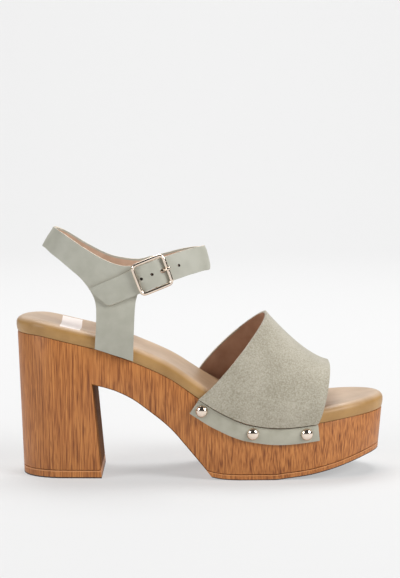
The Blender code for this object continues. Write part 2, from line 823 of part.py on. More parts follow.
def ankle_strap(leather):
    """Cut flat with its holes, then wrapped round the ankle."""
    points = leather_outline()
    low_q = min(p[0] for p in points) - CELL_ALONG
    high_q = max(p[0] for p in points) + CELL_ALONG
    low_z = min(p[1] for p in points) - CELL_UP
    high_z = max(p[1] for p in points) + CELL_UP
    bm = bmesh.new()
    columns = math.ceil((high_q - low_q) / CELL_ALONG)
    rows = math.ceil((high_z - low_z) / CELL_UP)
    bmesh.ops.create_grid(bm, x_segments=columns, y_segments=rows, size=0.5)
    bmesh.ops.scale(bm, vec=(high_q - low_q, high_z - low_z, 1), verts=bm.verts[:])
    middle = ((low_q + high_q) / 2, (low_z + high_z) / 2, 0.0)
    bmesh.ops.translate(bm, vec=middle, verts=bm.verts[:])
    top = bmesh.ops.extrude_face_region(bm, geom=bm.faces[:])["geom"]
    raised = [v for v in top if isinstance(v, bmesh.types.BMVert)]
    bmesh.ops.translate(bm, vec=(0, 0, LEATHER), verts=raised)
    made = new_object("ankle_strap", bm)
    boolean(made, prism("pattern", points, -OVERSHOOT, OVERSHOOT, "Z"), "INTERSECT")
    bar = bar_place()
    holes = [(along, HOLE_RADIUS) for along in HOLE_PLACES]
    for along, radius in [*holes, (PRONG_HOLE, PRONG_HOLE_RADIUS)]:
        place = strap_edge(bar + along, 0.0)
        drill_flat(made, place, radius)
    bm = bmesh.new()
    bm.from_mesh(made.data)
    bmesh.ops.remove_doubles(bm, verts=bm.verts[:], dist=2e-6)
    for vertex in bm.verts:
        q, z, n = vertex.co
        z = max(z, tab_foot(q))
        place, normal = ankle_frame(q, z)
        vertex.co = place + normal * (n + strap_lift(q, z))
    bm.to_mesh(made.data)
    bm.free()
    return finish(made, leather, "ankle_strap")


def tab_foot(q):
    """Where a tab ends, on the wood's top line."""
    x = ankle_point(q, SEAT_HEIGHT).x
    return top_line(x) + GAP


def drill_flat(target, place, radius):
    profile = [(0.0, OVERSHOOT), (radius, OVERSHOOT), (radius, -OVERSHOOT), (0.0, -OVERSHOOT)]
    cutter = turned("punch", profile, 12)
    cutter.data.transform(Matrix.Translation((place.x, place.y, 0.0)))
    boolean(target, cutter, "DIFFERENCE")


def buckle_matrix():
    """Stands the buckle on the strap: X along it to the front, Y up across it,
    Z out, from the ankle's face at the centre bar."""
    bar = bar_place()
    reach, half = BUCKLE_LENGTH / 2, STRAP_WIDTH / 2
    back, front = (strap_edge(bar + side * reach, 0.0) for side in (-1, 1))
    low, high = (strap_edge(bar, side * half) for side in (-1, 1))
    along = (ankle_point(*front) - ankle_point(*back)).normalized()
    across = ankle_point(*high) - ankle_point(*low)
    normal = along.cross(across).normalized()
    turn = Matrix((along, normal.cross(along), normal)).transposed().to_4x4()
    return Matrix.Translation(ankle_point(*strap_edge(bar, BUCKLE_SET))) @ turn


def wire(name, points, radius, closed=False):
    """A round wire along a line of points, as a mesh with welded ends."""
    path = bpy.data.curves.new(name, "CURVE")
    path.dimensions = "3D"
    path.bevel_depth = radius
    path.bevel_resolution = 2
    path.use_fill_caps = True
    line = path.splines.new("POLY")
    line.points.add(len(points) - 1)
    for slot, point in zip(line.points, points):
        slot.co = (*point, 1.0)
    line.use_cyclic_u = closed
    guide = bpy.data.objects.new(name, path)
    bpy.context.scene.collection.objects.link(guide)
    graph = bpy.context.evaluated_depsgraph_get()
    mesh = bpy.data.meshes.new_from_object(guide.evaluated_get(graph))
    bpy.data.objects.remove(guide)
    bm = bmesh.new()
    bm.from_mesh(mesh)
    bmesh.ops.remove_doubles(bm, verts=bm.verts[:], dist=1e-6)
    return new_object(name, bm)


def prong_eye():
    """Outer radius of the prong where it is bent round the centre bar."""
    return BAR_RADIUS + GAP + 2 * PRONG_RADIUS


def frame_level():
    """Height of the buckle's frame over the ankle's face."""
    return 2 * LEATHER + 2 * GAP + BUCKLE_WIRE


def bar_level():
    """Height of the centre bar, held in the fold of leather."""
    return LEATHER / 2


def buckle_frame(brass):
    """A rounded rectangle of wire with a centre bar set back behind it."""
    half_l = BUCKLE_LENGTH / 2 - BUCKLE_WIRE
    half_h = BUCKLE_HEIGHT / 2 - BUCKLE_WIRE
    corner = BUCKLE_CORNER - BUCKLE_WIRE
    loop = []
    for quarter in range(4):
        turn = math.pi / 2 * quarter
        mid_x = (half_l - corner) * (1 if quarter in (0, 3) else -1)
        mid_y = (half_h - corner) * (1 if quarter in (0, 1) else -1)
        for a in steps(turn, turn + math.pi / 2, 4):
            loop.append((mid_x + corner * math.cos(a), mid_y + corner * math.sin(a), frame_level()))
    made = wire("frame", loop, BUCKLE_WIRE, closed=True)
    ends = half_h - 0.2 * BUCKLE_WIRE
    bend = 2 * BAR_RADIUS
    bar = [
        (0.0, ends, frame_level()),
        (0.0, ends, bar_level() + bend),
        (0.0, ends - bend * 0.3, bar_level() + bend * 0.3),
        (0.0, ends - bend, bar_level()),
    ]
    bar += [(x, -y, z) for x, y, z in reversed(bar)]
    boolean(made, wire("bar", bar, BAR_RADIUS), "UNION")
    made.data.transform(buckle_matrix())
    return finish(made, brass, "buckle_frame")


def buckle_prong(brass):
    """A pin bent round the centre bar, out through the strap's hole and over
    the buckle's front bar."""
    reach = BUCKLE_LENGTH / 2 - BUCKLE_WIRE
    rise = frame_level() + BUCKLE_WIRE + GAP + PRONG_RADIUS - bar_level()
    middle = prong_eye() - PRONG_RADIUS
    eye = [
        (middle * math.cos(a), 0.0, bar_level() + middle * math.sin(a))
        for a in steps(math.radians(40), math.radians(330), 8)
    ]
    pin = [
        (reach * along, 0.0, bar_level() + rise * up)
        for along, up in zip(PRONG_LINE["along"], PRONG_LINE["up"])
    ]
    made = wire("prong", eye + pin, PRONG_RADIUS)
    made.data.transform(buckle_matrix())
    return finish(made, brass, "buckle_prong")


def buckle_loop(leather):
    """A thin fold of leather that holds the centre bar to the quarter's arm."""
    inside = LEATHER / 2 + 1.4 * GAP
    outside = inside + LOOP_LEATHER
    bend = [math.pi / 2 - a for a in steps(0.0, math.pi, 8)]
    outer = [(outside * math.cos(a), bar_level() + outside * math.sin(a)) for a in bend]
    inner = [(inside * math.cos(a), bar_level() + inside * math.sin(a)) for a in reversed(bend)]
    legs_out = [(-LOOP_LEG, bar_level() + outside)]
    legs_in = [(-LOOP_LEG, bar_level() - outside), (-LOOP_LEG, bar_level() - inside)]
    points = legs_out + outer + legs_in + inner + [(-LOOP_LEG, bar_level() + inside)]
    made = prism("buckle_loop", points, -LOOP_WIDTH / 2, LOOP_WIDTH / 2)
    slot = PRONG_RADIUS + 2 * GAP
    back = -prong_eye() - 2 * GAP
    front = OVERSHOOT
    opening = [(back, -front), (front, -front), (front, front), (back, front)]
    boolean(made, prism("slot", opening, -slot, slot), "DIFFERENCE")
    made.data.transform(buckle_matrix())
    return finish(made, leather, "buckle_loop")


def main():
    for old in list(bpy.data.objects):
        bpy.data.objects.remove(old)
    bpy.context.scene.collection.children.link(bpy.data.collections.new("block_heel_sandal"))
    wood = material("wood_look", (0.56, 0.26, 0.11), 0.5)
    tan = material("tan_footbed", (0.60, 0.38, 0.18), 0.4)
    suede = material("sage_suede", (0.42, 0.41, 0.33), 0.9)
    sage = material("sage_leather", (0.44, 0.44, 0.37), 0.55)
    rubber = material("outsole_rubber", (0.42, 0.20, 0.09), 0.7)
    brass = material("rose_gold", (0.80, 0.60, 0.44), 0.2, 1.0)
    platform_and_heel(wood)
    heel_top_lift(rubber)
    forefoot_outsole(rubber)
    footbed(tan)
    toe_strap(suede)
    ankle_strap(sage)
    buckle_frame(brass)
    buckle_prong(brass)
    buckle_loop(sage)
    for side, word in ((-1, "outer"), (1, "inner")):
        side_band(side, sage, "side_band_" + word)
        for i, place in enumerate(STUD_PLACES, 1):
            stud(side, place, brass, f"stud_{word}_{i}")


main()
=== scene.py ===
# %% [markdown]
# # A block heel sandal in sage leather
# This lesson dresses a finished CAD model of one shoe. The CAD solids are the
# measured frame: they say where everything is. Here each of them gets the skin
# that a shoemaker would give it, such as suede, lining, wood grain and plated
# metal. All sizes are in metres, +X points to the toe and +Z up.

# %% Load the frame
import math

import bmesh
import bpy
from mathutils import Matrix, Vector
from mathutils.kdtree import KDTree


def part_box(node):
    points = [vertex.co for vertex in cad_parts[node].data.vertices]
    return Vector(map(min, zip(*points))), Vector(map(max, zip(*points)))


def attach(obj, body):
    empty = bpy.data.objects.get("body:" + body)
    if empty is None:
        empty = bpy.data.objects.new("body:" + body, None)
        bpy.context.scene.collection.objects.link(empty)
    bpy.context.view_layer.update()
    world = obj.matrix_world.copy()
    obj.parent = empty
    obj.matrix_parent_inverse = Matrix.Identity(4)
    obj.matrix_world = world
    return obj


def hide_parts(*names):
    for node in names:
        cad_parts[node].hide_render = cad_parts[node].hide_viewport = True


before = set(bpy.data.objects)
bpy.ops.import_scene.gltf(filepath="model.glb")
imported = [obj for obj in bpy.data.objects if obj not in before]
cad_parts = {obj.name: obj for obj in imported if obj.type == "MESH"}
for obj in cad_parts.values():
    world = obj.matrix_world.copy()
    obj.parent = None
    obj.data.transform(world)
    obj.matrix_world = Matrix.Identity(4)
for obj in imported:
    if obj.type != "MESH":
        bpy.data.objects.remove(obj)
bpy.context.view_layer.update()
MM = 0.001

# %% [markdown]
# ## The camera
# The photograph is a side view from a little above, taken from far away, so its
# lines hardly run together. A long lens at 1.33 m gives the same flat look. A
# shorter lens closer by would fit the shoe as well, but would make the near
# edge of the sole too large.

# %% Place the camera
scene = bpy.context.scene
camera = bpy.data.objects.new("camera", bpy.data.cameras.new("camera"))
scene.collection.objects.link(camera)
camera.location = (-0.00045, -1.3305, 0.260)
camera.rotation_euler = (math.radians(83.95), 0, 0)
camera.data.lens = 127.5
camera.data.sensor_width = 36
camera.data.clip_start = 0.05
scene.camera = camera
scene.view_settings.view_transform = "Standard"
print("camera distance:", round(camera.location.length, 3), "m")

# %% [markdown]
# ## Floor and light
# A product photograph uses a sweep: paper that lies flat and then curls up, so
# that no horizon shows. It starts as a grid, and its back edge is spun up about
# an axis and then extruded. Large area lights stand for softboxes, and the air
# is bright below the horizon and dark above it, so that the metal has something
# dark to reflect. An even white room would make it look like plastic.

# %% Roll out the sweep
FLOOR_HALF = 1.6
SWEEP_RADIUS = 0.9
SWEEP_HEIGHT = 1.6
PAPER_GREY = (0.36, 0.36, 0.36, 1)
PAPER_GLOW = 0.425


def back_rim(shape, height):
    """Vertices and edges of the rim at the back of the sweep."""
    far = FLOOR_HALF - MM
    verts = [v for v in shape.verts if v.co.y > far and v.co.z > height - MM]
    edges = [e for e in shape.edges if all(v in verts for v in e.verts)]
    return verts + edges


paper = bmesh.new()
bmesh.ops.create_grid(paper, x_segments=1, y_segments=1, size=FLOOR_HALF)
bmesh.ops.spin(
    paper,
    geom=back_rim(paper, 0),
    cent=(0, FLOOR_HALF, SWEEP_RADIUS),
    axis=(1, 0, 0),
    angle=math.radians(90),
    steps=24,
)
raised = bmesh.ops.extrude_edge_only(
    paper, edges=[g for g in back_rim(paper, SWEEP_RADIUS) if isinstance(g, bmesh.types.BMEdge)]
)
top_verts = [g for g in raised["geom"] if isinstance(g, bmesh.types.BMVert)]
bmesh.ops.translate(paper, verts=top_verts, vec=(0, 0, SWEEP_HEIGHT))
for face in paper.faces:
    face.smooth = True
floor_mesh = bpy.data.meshes.new("floor")
paper.to_mesh(floor_mesh)
paper.free()
floor = bpy.data.objects.new("floor", floor_mesh)
scene.collection.objects.link(floor)

floor_paper = bpy.data.materials.new("floor_paper")
floor_paper.use_nodes = True
paper_shader = floor_paper.node_tree.nodes["Principled BSDF"]
paper_shader.inputs["Base Color"].default_value = PAPER_GREY
paper_shader.inputs["Roughness"].default_value = 1.0
paper_shader.inputs["Specular IOR Level"].default_value = 0.0
paper_shader.inputs["Emission Color"].default_value = (1, 1, 1, 1)
paper_shader.inputs["Emission Strength"].default_value = PAPER_GLOW
floor_mesh.materials.append(floor_paper)
print("sweep faces:", len(floor_mesh.polygons))

# %% Hang the softboxes
SHOE = (0, 0, 0.06)
BRIGHT_AIR = (0.85, 0.85, 0.85, 1)
DARK_AIR = (0.05, 0.05, 0.05, 1)
HORIZON_BLEND = 0.08
SOFTBOXES = {
    # name: place, aim, size, power in watts
    "key": ((1.75, -1.15, 1.25), SHOE, 1.2, 46.0),
    "fill": ((-1.75, -1.15, 1.1), SHOE, 1.0, 22.0),
    "top": ((0.0, 0.75, 1.9), SHOE, 1.2, 21.0),
    "sweep": ((0.0, 1.2, 2.4), (0, 2.4, 0.3), 2.0, 38.0),
}
for name, (place, aim, size, power) in SOFTBOXES.items():
    light = bpy.data.objects.new(name, bpy.data.lights.new(name, "AREA"))
    scene.collection.objects.link(light)
    light.location = place
    light.rotation_euler = (Vector(aim) - light.location).to_track_quat("-Z", "Y").to_euler()
    light.data.size = size
    light.data.energy = power

world = bpy.data.worlds.new("studio_air")
world.use_nodes = True
air = world.node_tree
direction = air.nodes.new("ShaderNodeTexCoord")
height = air.nodes.new("ShaderNodeSeparateXYZ")
walls = air.nodes.new("ShaderNodeValToRGB")
marks = walls.color_ramp.elements
marks[0].position, marks[0].color = 0.0, BRIGHT_AIR
marks[1].position, marks[1].color = HORIZON_BLEND, DARK_AIR
air.links.new(direction.outputs["Generated"], height.inputs[0])
air.links.new(height.outputs["Z"], walls.inputs["Fac"])
air.links.new(walls.outputs["Color"], air.nodes["Background"].inputs["Color"])
scene.world = world
print("softboxes:", len(SOFTBOXES))

# %% [markdown]
# ## Making a finish
# Every finish here is a Principled shader fed by noise. A small helper adds a
# node and sets its sockets, and another gives noise that lives in the piece's
# own space, so that a pattern stays put when the shoe turns. An image texture
# would need a flat unwrapping of each piece; noise in space needs none.

# %% Helpers for finishes


def add_node(tree, kind, **sockets):
    """A new node with its input sockets set by name."""
    node = tree.nodes.new(kind)
    for socket, value in sockets.items():
        node.inputs[socket.replace("_", " ")].default_value = value
    return node


def new_finish(name, roughness, **sockets):
    """A material, its node tree and its Principled shader."""
    finish = bpy.data.materials.new(name)
    finish.use_nodes = True
    shader = finish.node_tree.nodes["Principled BSDF"]
    shader.inputs["Roughness"].default_value = roughness
    for socket, value in sockets.items():
        shader.inputs[socket.replace("_", " ")].default_value = value
    return finish, finish.node_tree, shader


def noise_field(tree, size, stretch=(1, 1, 1), detail=3.0):
    """Noise whose spots are about size across, drawn out along the axes where
    stretch is above 1. Returns its grey socket."""
    place = add_node(tree, "ShaderNodeTexCoord")
    scaled = add_node(tree, "ShaderNodeMapping", Scale=[1 / s for s in stretch])
    noise = add_node(tree, "ShaderNodeTexNoise", Scale=1 / size, Detail=detail)
    tree.links.new(place.outputs["Object"], scaled.inputs["Vector"])
    tree.links.new(scaled.outputs["Vector"], noise.inputs["Vector"])
    return noise.outputs["Fac"]


def column_field(tree, spacing, stretch):
    """Upright columns about spacing apart, for a print's even lines on a wall
    that faces any way. Returns the grey socket, light at the middle of a column."""
    place = add_node(tree, "ShaderNodeTexCoord")
    scaled = add_node(tree, "ShaderNodeMapping", Scale=(1, 1, 1 / stretch))
    columns = add_node(tree, "ShaderNodeTexVoronoi", Scale=1 / spacing, Randomness=0.7)
    tree.links.new(place.outputs["Object"], scaled.inputs["Vector"])
    tree.links.new(scaled.outputs["Vector"], columns.inputs["Vector"])
    return maths(tree, "SUBTRACT", 1.0, columns.outputs["Distance"])


def maths(tree, operation, *values):
    """A Math node on sockets or numbers. Returns its output socket."""
    node = tree.nodes.new("ShaderNodeMath")
    node.operation = operation
    for socket, value in zip(node.inputs, values):
        if isinstance(value, bpy.types.NodeSocket):
            tree.links.new(value, socket)
        else:
            socket.default_value = value
    return node.outputs[0]


def mixed_grey(tree, *parts):
    """Adds grey sockets, each taken by its share."""
    total = 0.0
    for grey, share in parts:
        total = maths(tree, "MULTIPLY_ADD", grey, share, total)
    return total


def ramp(tree, factor, stops):
    """A colour ramp with stops of (place, colour). Returns its colour socket."""
    node = tree.nodes.new("ShaderNodeValToRGB")
    marks = node.color_ramp.elements
    while len(marks) < len(stops):
        marks.new(0.5)
    for mark, (place, colour) in zip(marks, stops):
        mark.position = place
        mark.color = (*colour, 1)
    tree.links.new(factor, node.inputs["Fac"])
    return node.outputs["Color"]


def blend(tree, factor, first, second, mode="MIX"):
    """Mixes two colours, each a socket or an (r, g, b)."""
    node = tree.nodes.new("ShaderNodeMix")
    node.data_type = "RGBA"
    node.blend_type = mode
    inputs = (node.inputs[0], node.inputs[6], node.inputs[7])
    for socket, value in zip(inputs, (factor, first, second)):
        if isinstance(value, bpy.types.NodeSocket):
            tree.links.new(value, socket)
        else:
            socket.default_value = value if isinstance(value, float) else (*value, 1)
    return node.outputs[2]


def attribute(tree, name):
    """The grey value of the piece's own attribute."""
    node = tree.nodes.new("ShaderNodeAttribute")
    node.attribute_name = name
    return node.outputs["Fac"]


def bump(tree, shader, height, depth, strength=1.0):
    """Feeds height, from 0 to 1, to the shader's normal as relief depth deep."""
    node = add_node(tree, "ShaderNodeBump", Strength=strength, Distance=depth)
    tree.links.new(height, node.inputs["Height"])
    tree.links.new(node.outputs["Normal"], shader.inputs["Normal"])


print("helpers ready")

# %% [markdown]
# ## Wood look
# The heel and platform are moulded and wrapped in a printed wood look, so the
# grain runs straight up on every side. Three noises drawn out along Z make it,
# as broad bands, fine fibres and short dark pores, and stretched Voronoi cells
# add the even lines of the print. A wave texture would draw straighter lines,
# but chevrons where the curved wall runs along its bands.

# %% Wood finish
UPRIGHT_BANDS = (1, 1, 30)
UPRIGHT_FIBRES = (1, 1, 85)
UPRIGHT_PORES = (1, 1, 20)
GRAIN_COLOURS = [
    (0.30, (0.21, 0.058, 0.010)),
    (0.47, (0.445, 0.157, 0.036)),
    (0.68, (0.57, 0.228, 0.059)),
]
BEAD_FROM = 0.84
BEAD_SHARE = 0.6
BEAD_HIGHLIGHT_COLOUR = (0.72, 0.33, 0.13)
FOOT_UP_TO = 0.16
FOOT_COLOUR = (0.035, 0.02, 0.014)


def wood_finish(name, edged=False, shade=1.0):
    """The wood look. An edged piece has a pale line on top, a painted highlight
    along its bead, and a dark foot, and a shade below 1 paints shade on the wood,
    making it darker and dull, as on the shaded inner faces."""
    finish, tree, shader = new_finish(name, 0.5, Coat_Weight=0.05, Coat_Roughness=0.3)
    bands = noise_field(tree, 4 * MM, UPRIGHT_BANDS, 1.0)
    fibres = noise_field(tree, 0.48 * MM, UPRIGHT_FIBRES, 0.0)
    pores = noise_field(tree, 0.42 * MM, UPRIGHT_PORES, 0.0)
    columns = column_field(tree, 1.2 * MM, 50)
    mixed = mixed_grey(tree, (bands, 0.12), (fibres, 0.56), (columns, 0.32))
    grain = ramp(tree, mixed, GRAIN_COLOURS)
    dots = ramp(tree, pores, [(0.30, (0.72, 0.66, 0.60)), (0.44, (1, 1, 1))])
    colour = blend(tree, 1.0, grain, dots, "MULTIPLY")
    # The pale line on top is a painted highlight along the bead.
    if edged:
        rise = attribute(tree, "rise")
        bead_highlight = maths(tree, "GREATER_THAN", rise, BEAD_FROM)
        colour = blend(tree, maths(tree, "MULTIPLY", bead_highlight, BEAD_SHARE), colour, BEAD_HIGHLIGHT_COLOUR)
        foot = maths(tree, "LESS_THAN", rise, FOOT_UP_TO)
        colour = blend(tree, foot, colour, FOOT_COLOUR)
    if shade < 1:
        colour = blend(tree, 1.0, colour, (shade, shade, shade), "MULTIPLY")
        dull = {"Roughness": 0.85, "Specular IOR Level": 0.1, "Coat Weight": 0.0}
        for socket, value in dull.items():
            shader.inputs[socket].default_value = value
    tree.links.new(colour, shader.inputs["Base Color"])
    bump(tree, shader, mixed_grey(tree, (fibres, 0.5), (pores, 1.0)), 0.08 * MM, 0.6)
    return finish


wood_look = wood_finish("wood_look")
# Painted shade: a darker, duller copy of the wood for the arch and the heel breast.
wood_painted_shade = wood_finish("wood_look_painted_shade", shade=0.42)
wood_edge = wood_finish("wood_look_edge", edged=True)
print("wood finishes:", wood_look.name, wood_edge.name)

# %% [markdown]
# ## Leather, suede and lining
# The toe strap is suede: matt, mottled and with a nap that glows at grazing
# angles, which is what sheen is for. The ankle leather is smooth with a fine
# pebble, so it gets cells from a Voronoi texture and a little gloss. The ankle
# strap is lined in pink beige, and the toe strap in a darker brown copy of it,
# which is painted shade for its dim inside. Both linings have a narrow margin of
# the face leather turned over the rim, and the rims are pale, partly edge paint
# and partly painted highlight.

# %% Leather finishes
RIM_REACH = 5 * MM
FOLD = 1.15 * MM / RIM_REACH
FOLD_BLEND = 0.1 * MM / RIM_REACH
# Painted shade: colours get darker towards a piece's foot.
FOOT_SHADE_RAMP = [(0.0, (0.86, 0.85, 0.84)), (1.0, (1, 1, 1))]


def height_over(tree, floor_z, reach):
    """How far up a place is, from 0 at floor_z to 1 at reach above it."""
    place = add_node(tree, "ShaderNodeTexCoord")
    parts = tree.nodes.new("ShaderNodeSeparateXYZ")
    tree.links.new(place.outputs["Object"], parts.inputs[0])
    return maths(tree, "DIVIDE", maths(tree, "SUBTRACT", parts.outputs["Z"], floor_z), reach)


def paint_foot_shade(tree, colour, floor_z, reach):
    """Paints shade: makes a colour a little darker near floor_z."""
    foot_shade = ramp(tree, height_over(tree, floor_z, reach), FOOT_SHADE_RAMP)
    return blend(tree, 1.0, colour, foot_shade, "MULTIPLY")


def suede_finish(name, foot, dark, mid, light):
    """Mottled suede, with painted shade making it a little darker near its foot."""
    finish, tree, shader = new_finish(
        name, 0.92, Sheen_Weight=0.25, Sheen_Roughness=0.5, Specular_IOR_Level=0.2
    )
    mottle = noise_field(tree, 1.0 * MM, detail=4.0)
    cloud = noise_field(tree, 16 * MM, detail=2.0)
    nap = noise_field(tree, 0.35 * MM, detail=2.0)
    mixed = mixed_grey(tree, (mottle, 0.75), (cloud, 0.25))
    colour = ramp(tree, mixed, [(0.34, dark), (0.5, mid), (0.66, light)])
    tree.links.new(paint_foot_shade(tree, colour, foot, 16 * MM), shader.inputs["Base Color"])
    bump(tree, shader, mixed_grey(tree, (nap, 0.6), (mottle, 1.0)), 0.25 * MM, 0.5)
    return finish


def smooth_leather(name, dark, light, roughness, change=lambda tree, colour: colour):
    """Smooth leather. change may turn its colour's socket into another."""
    finish, tree, shader = new_finish(name, roughness, Coat_Weight=0.08, Coat_Roughness=0.4)
    cloud = noise_field(tree, 9 * MM, detail=4.0)
    tone = ramp(tree, cloud, [(0.35, dark), (0.65, light)])
    place = add_node(tree, "ShaderNodeTexCoord")
    pebble = add_node(tree, "ShaderNodeTexVoronoi", Scale=1 / (0.9 * MM))
    tree.links.new(place.outputs["Object"], pebble.inputs["Vector"])
    tree.links.new(change(tree, tone), shader.inputs["Base Color"])
    fine = noise_field(tree, 0.5 * MM, detail=2.0)
    relief = mixed_grey(tree, (pebble.outputs["Distance"], 1.0), (fine, 0.5))
    bump(tree, shader, relief, 0.05 * MM, 0.5)
    return finish


def folded_lining_finish(name, dark, light, turned_over):
    """A lining with a margin of the face leather folded over its rim."""
    edges = [(FOLD - FOLD_BLEND, (0, 0, 0)), (FOLD + FOLD_BLEND, (1, 1, 1))]

    def fold(tree, colour):
        return blend(tree, ramp(tree, attribute(tree, "rim"), edges), turned_over, colour)

    return smooth_leather(name, dark, light, 0.6, fold)


VAMP_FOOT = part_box("toe_strap")[0].z
TAB_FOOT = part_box("ankle_strap")[0].z
SUEDE_TONES = [(0.305, 0.278, 0.208), (0.395, 0.364, 0.290), (0.485, 0.45, 0.366)]
vamp_suede = suede_finish("sage_suede", VAMP_FOOT, *SUEDE_TONES)
band_leather = smooth_leather("sage_band_leather", (0.375, 0.36, 0.285), (0.445, 0.43, 0.35), 0.6)
sage_leather = smooth_leather(
    "sage_leather",
    (0.405, 0.400, 0.335),
    (0.455, 0.45, 0.382),
    0.55,
    lambda tree, colour: paint_foot_shade(tree, colour, TAB_FOOT, 60 * MM),
)
# Painted shade: the toe strap's lining and its turned-over margin are darker copies of the ankle
# strap's.
vamp_lining_shaded = folded_lining_finish(
    "brown_lining_painted_shade", (0.43, 0.245, 0.165), (0.52, 0.31, 0.215), (0.36, 0.34, 0.27)
)
lining = folded_lining_finish(
    "pink_beige_lining", (0.50, 0.33, 0.23), (0.58, 0.39, 0.28), (0.43, 0.42, 0.35)
)
# Pale rims: edge paint, lightened as a painted highlight where light catches the rim.
rim_paint_and_highlight = smooth_leather("pale_rim_paint_and_highlight", (0.62, 0.52, 0.41), (0.70, 0.60, 0.48), 0.6)
# Painted shade: near-black hole walls stand for the dark inside of each punched hole.
hole_wall_shade = smooth_leather("hole_wall_painted_shade", (0.045, 0.032, 0.025), (0.07, 0.05, 0.04), 0.8)
print("leathers:", ", ".join(m.name for m in (vamp_suede, sage_leather, lining, rim_paint_and_highlight)))

# %% [markdown]
# ## Footbed cover and plated metal
# The footbed is wrapped in one soft cover with a satin gloss. Its top is painted
# lighter and pinker than its yellower side, which is painted light where the top
# faces the lamps, and an attribute says how far each place faces up. The metal
# is a pale rose gold plate: fully metallic, a little rough, and with faint
# smears so that its highlights aren't perfectly even.

# %% Footbed and metal finishes
PATCH_PLACE = (-84.2 * MM, -7 * MM, 0)
PATCH_HALF = (6.5 * MM, 26 * MM, 1)
PATCH_COLOUR = (0.80, 0.72, 0.68)
PATCH_LEAN = math.radians(1.5)


def footbed_finish():
    """The tan cover, with the bare pale patch on the heel seat."""
    finish, tree, shader = new_finish("tan_footbed", 0.44, Coat_Weight=0.08, Coat_Roughness=0.35)
    crown = attribute(tree, "crown")
    cloud = noise_field(tree, 14 * MM, detail=3.0)
    # Painted light: the top colours are lighter and pinker than the side colours of the same
    # cover.
    side = ramp(tree, cloud, [(0.35, (0.36, 0.195, 0.060)), (0.65, (0.44, 0.250, 0.085))])
    top = ramp(tree, cloud, [(0.35, (0.42, 0.285, 0.175)), (0.65, (0.49, 0.345, 0.225))])
    cover_painted_light = blend(tree, crown, side, top)
    patch_place = add_node(tree, "ShaderNodeTexCoord")
    patch = add_node(tree, "ShaderNodeMapping", Location=PATCH_PLACE, Scale=PATCH_HALF)
    patch.vector_type = "TEXTURE"
    patch.inputs["Rotation"].default_value = (0, 0, PATCH_LEAN)
    tree.links.new(patch_place.outputs["Object"], patch.inputs["Vector"])
    parts = tree.nodes.new("ShaderNodeSeparateXYZ")
    tree.links.new(patch.outputs["Vector"], parts.inputs[0])
    reach = [maths(tree, "ABSOLUTE", parts.outputs[axis]) for axis in ("X", "Y")]
    on_patch = maths(tree, "LESS_THAN", maths(tree, "MAXIMUM", *reach), 1.0)
    tree.links.new(blend(tree, on_patch, cover_painted_light, PATCH_COLOUR), shader.inputs["Base Color"])
    place = add_node(tree, "ShaderNodeTexCoord")
    pebble = add_node(tree, "ShaderNodeTexVoronoi", Scale=1 / (0.8 * MM))
    tree.links.new(place.outputs["Object"], pebble.inputs["Vector"])
    bump(tree, shader, pebble.outputs["Distance"], 0.04 * MM, 0.4)
    return finish


def plated_finish():
    """Pale rose gold plate with faint smears."""
    finish, tree, shader = new_finish("rose_gold", 0.14, Metallic=1.0)
    smear = noise_field(tree, 3 * MM, (1, 1, 3), 3.0)
    colour = ramp(tree, smear, [(0.3, (0.86, 0.72, 0.59)), (0.7, (0.93, 0.81, 0.70))])
    rough = maths(tree, "MULTIPLY_ADD", smear, 0.12, 0.06)
    tree.links.new(colour, shader.inputs["Base Color"])
    tree.links.new(rough, shader.inputs["Roughness"])
    return finish


footbed_cover = footbed_finish()
rose_gold = plated_finish()
print("also:", footbed_cover.name, rose_gold.name)

# %% [markdown]
# ## From solid to piece
# A CAD solid arrives as loose triangles. Merged and paired back into four-sided
# faces, a copy of it is a good base for a skin: its rims can be rounded with
# bevels and its broad faces subdivided. Modelling each skin from nothing would
# risk a misfit of a millimetre, and on a shoe that is a visible gap.

# %% Helpers for pieces
FLAT_PAIR = math.radians(14)
SQUARE_PAIR = math.radians(60)
SHARP_DEGREES = 50
LEVELS = 2


def cut_from(node):
    """A bmesh with the CAD node's shape, merged and paired into quads."""
    shape = bmesh.new()
    shape.from_mesh(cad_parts[node].data)
    bmesh.ops.remove_doubles(shape, verts=shape.verts, dist=0.01 * MM)
    bmesh.ops.join_triangles(
        shape,
        faces=shape.faces,
        angle_face_threshold=FLAT_PAIR,
        angle_shape_threshold=SQUARE_PAIR,
    )
    return shape


def sharp_edges(shape, angle):
    """Edges where two faces meet at more than angle, in degrees."""
    limit = math.radians(angle)
    return [e for e in shape.edges if e.is_manifold and e.calc_face_angle() > limit]


def round_rims(shape, angle, width, clamp=True):
    """Bevels the sharp edges, as sanding or folding does. With clamp, the
    shortest edge of the piece limits the width everywhere."""
    bmesh.ops.bevel(
        shape,
        geom=sharp_edges(shape, angle),
        offset=width,
        segments=2,
        profile=0.5,
        affect="EDGES",
        material=-1,
        clamp_overlap=clamp,
    )


def finish_piece(shape, name, node, finishes, smooth_angle=35):
    """Makes the object, which stands for the CAD node, and lets it ride."""
    mesh = bpy.data.meshes.new(name)
    shape.to_mesh(mesh)
    shape.free()
    for stale in ("custom_normal", "sharp_edge", "sharp_face"):
        if stale in mesh.attributes:
            mesh.attributes.remove(mesh.attributes[stale])
    mesh.shade_smooth()
    mesh.set_sharp_from_angle(angle=math.radians(smooth_angle))
    for finish in finishes:
        mesh.materials.append(finish)
    piece = bpy.data.objects.new(name, mesh)
    scene.collection.objects.link(piece)
    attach(piece, "root")
    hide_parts(node)
    print(f"{name}: {len(mesh.polygons)} faces")
    return piece
